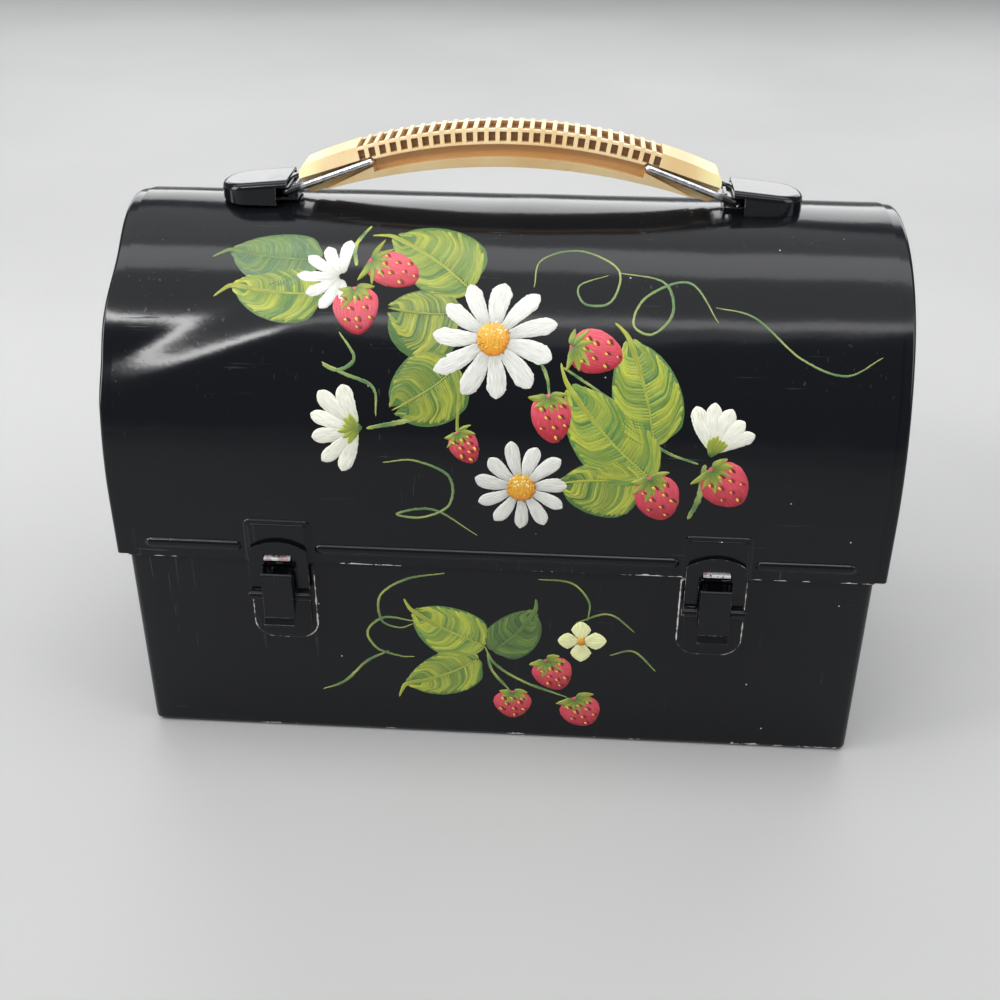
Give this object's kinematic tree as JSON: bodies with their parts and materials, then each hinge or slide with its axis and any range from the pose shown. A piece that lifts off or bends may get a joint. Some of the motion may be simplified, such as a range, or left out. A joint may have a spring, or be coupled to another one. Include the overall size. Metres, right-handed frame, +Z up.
{
  "type": "metal lunch box",
  "caption": "Dome-top sheet-metal lunch box with a hinged lid, two toggle latches and an arched carrying handle on wire bails.",
  "frame": {"origin": "centre of the underside of the body, on the surface it stands on", "axes": "+X along the box to the right, +Y from the front with the latches to the hinges, +Z up"},
  "size_m": [0.254, 0.138, 0.202],
  "materials": {
    "body_enamel": "glossy black enamel",
    "lid_enamel": "glossy black enamel with hand-painted flowers",
    "hood_enamel": "glossy black enamel over a pressed hood",
    "latch_enamel": "glossy black enamel, worn at the edges",
    "hinge_enamel": "glossy black enamel",
    "worn_catch": "steel with the enamel worn through",
    "pin_steel": "plain steel",
    "wire_steel": "drawn wire with black overspray near the hoods",
    "grip_plastic": "moulded tan plastic"
  },
  "bodies": {
    "body": {"body_pan": "body_enamel", "latch_base_left": "latch_enamel", "latch_base_right": "latch_enamel", "lever_pin_left": "pin_steel", "lever_pin_right": "pin_steel", "hinge_body_leaf_left": "hinge_enamel", "hinge_body_leaf_right": "hinge_enamel", "hinge_pin_left": "pin_steel", "hinge_pin_right": "pin_steel"},
    "lid": {"lid_shell": "lid_enamel", "handle_rivets": "pin_steel", "lid_end_left": "lid_enamel", "lid_end_right": "lid_enamel", "lid_catch_left": "worn_catch", "lid_catch_right": "worn_catch", "hinge_lid_leaf_left": "hinge_enamel", "hinge_lid_leaf_right": "hinge_enamel", "handle_hood_left": "hood_enamel", "handle_hood_right": "hood_enamel", "hood_keeper_left": "hood_enamel", "hood_keeper_right": "hood_enamel"},
    "grip": {"handle_grip": "grip_plastic"},
    "bail_left": {"handle_bail_left": "wire_steel"},
    "bail_right": {"handle_bail_right": "wire_steel"},
    "lever_left": {"latch_lever_left": "latch_enamel", "link_pin_left": "pin_steel"},
    "link_left": {"latch_link_left": "latch_enamel"},
    "lever_right": {"latch_lever_right": "latch_enamel", "link_pin_right": "pin_steel"},
    "link_right": {"latch_link_right": "latch_enamel"}
  },
  "joints": [
    {"name": "lid_hinge", "type": "hinge", "parent": "body", "child": "lid", "pos_m": [0, 0.0639, 0.07], "axis": [-1, 0, 0], "range_deg": [0, 110]},
    {"name": "handle_lift", "type": "slide", "parent": "lid", "child": "grip", "axis": [0, 0, 1], "range_m": [0, 0.003]},
    {"name": "lever_left_hinge", "type": "hinge", "parent": "body", "child": "lever_left", "pos_m": [-0.0717, -0.067, 0.0675], "axis": [-1, 0, 0], "range_deg": [0, 95]},
    {"name": "link_left_hinge", "type": "hinge", "parent": "lever_left", "child": "link_left", "pos_m": [-0.0717, -0.0667, 0.061], "axis": [1, 0, 0], "range_deg": [0, 119]},
    {"name": "bail_left_hinge", "type": "hinge", "parent": "grip", "child": "bail_left", "pos_m": [-0.0443, 0, 0.1905], "axis": [0, -1, 0], "range_deg": [0, 6.11]},
    {"name": "lever_right_hinge", "type": "hinge", "parent": "body", "child": "lever_right", "pos_m": [0.0717, -0.067, 0.0675], "axis": [-1, 0, 0], "range_deg": [0, 95]},
    {"name": "link_right_hinge", "type": "hinge", "parent": "lever_right", "child": "link_right", "pos_m": [0.0717, -0.0667, 0.061], "axis": [1, 0, 0], "range_deg": [0, 119]},
    {"name": "bail_right_hinge", "type": "hinge", "parent": "grip", "child": "bail_right", "pos_m": [0.0443, 0, 0.1905], "axis": [0, 1, 0], "range_deg": [0, 6.11]}
  ],
  "couplings": [
    {"joint": "link_left_hinge", "follows": "lever_left_hinge", "ratio": 1.25},
    {"joint": "bail_left_hinge", "follows": "handle_lift", "rad_per_m": 34.989},
    {"joint": "link_right_hinge", "follows": "lever_right_hinge", "ratio": 1.25},
    {"joint": "bail_right_hinge", "follows": "handle_lift", "rad_per_m": 34.989}
  ]
}
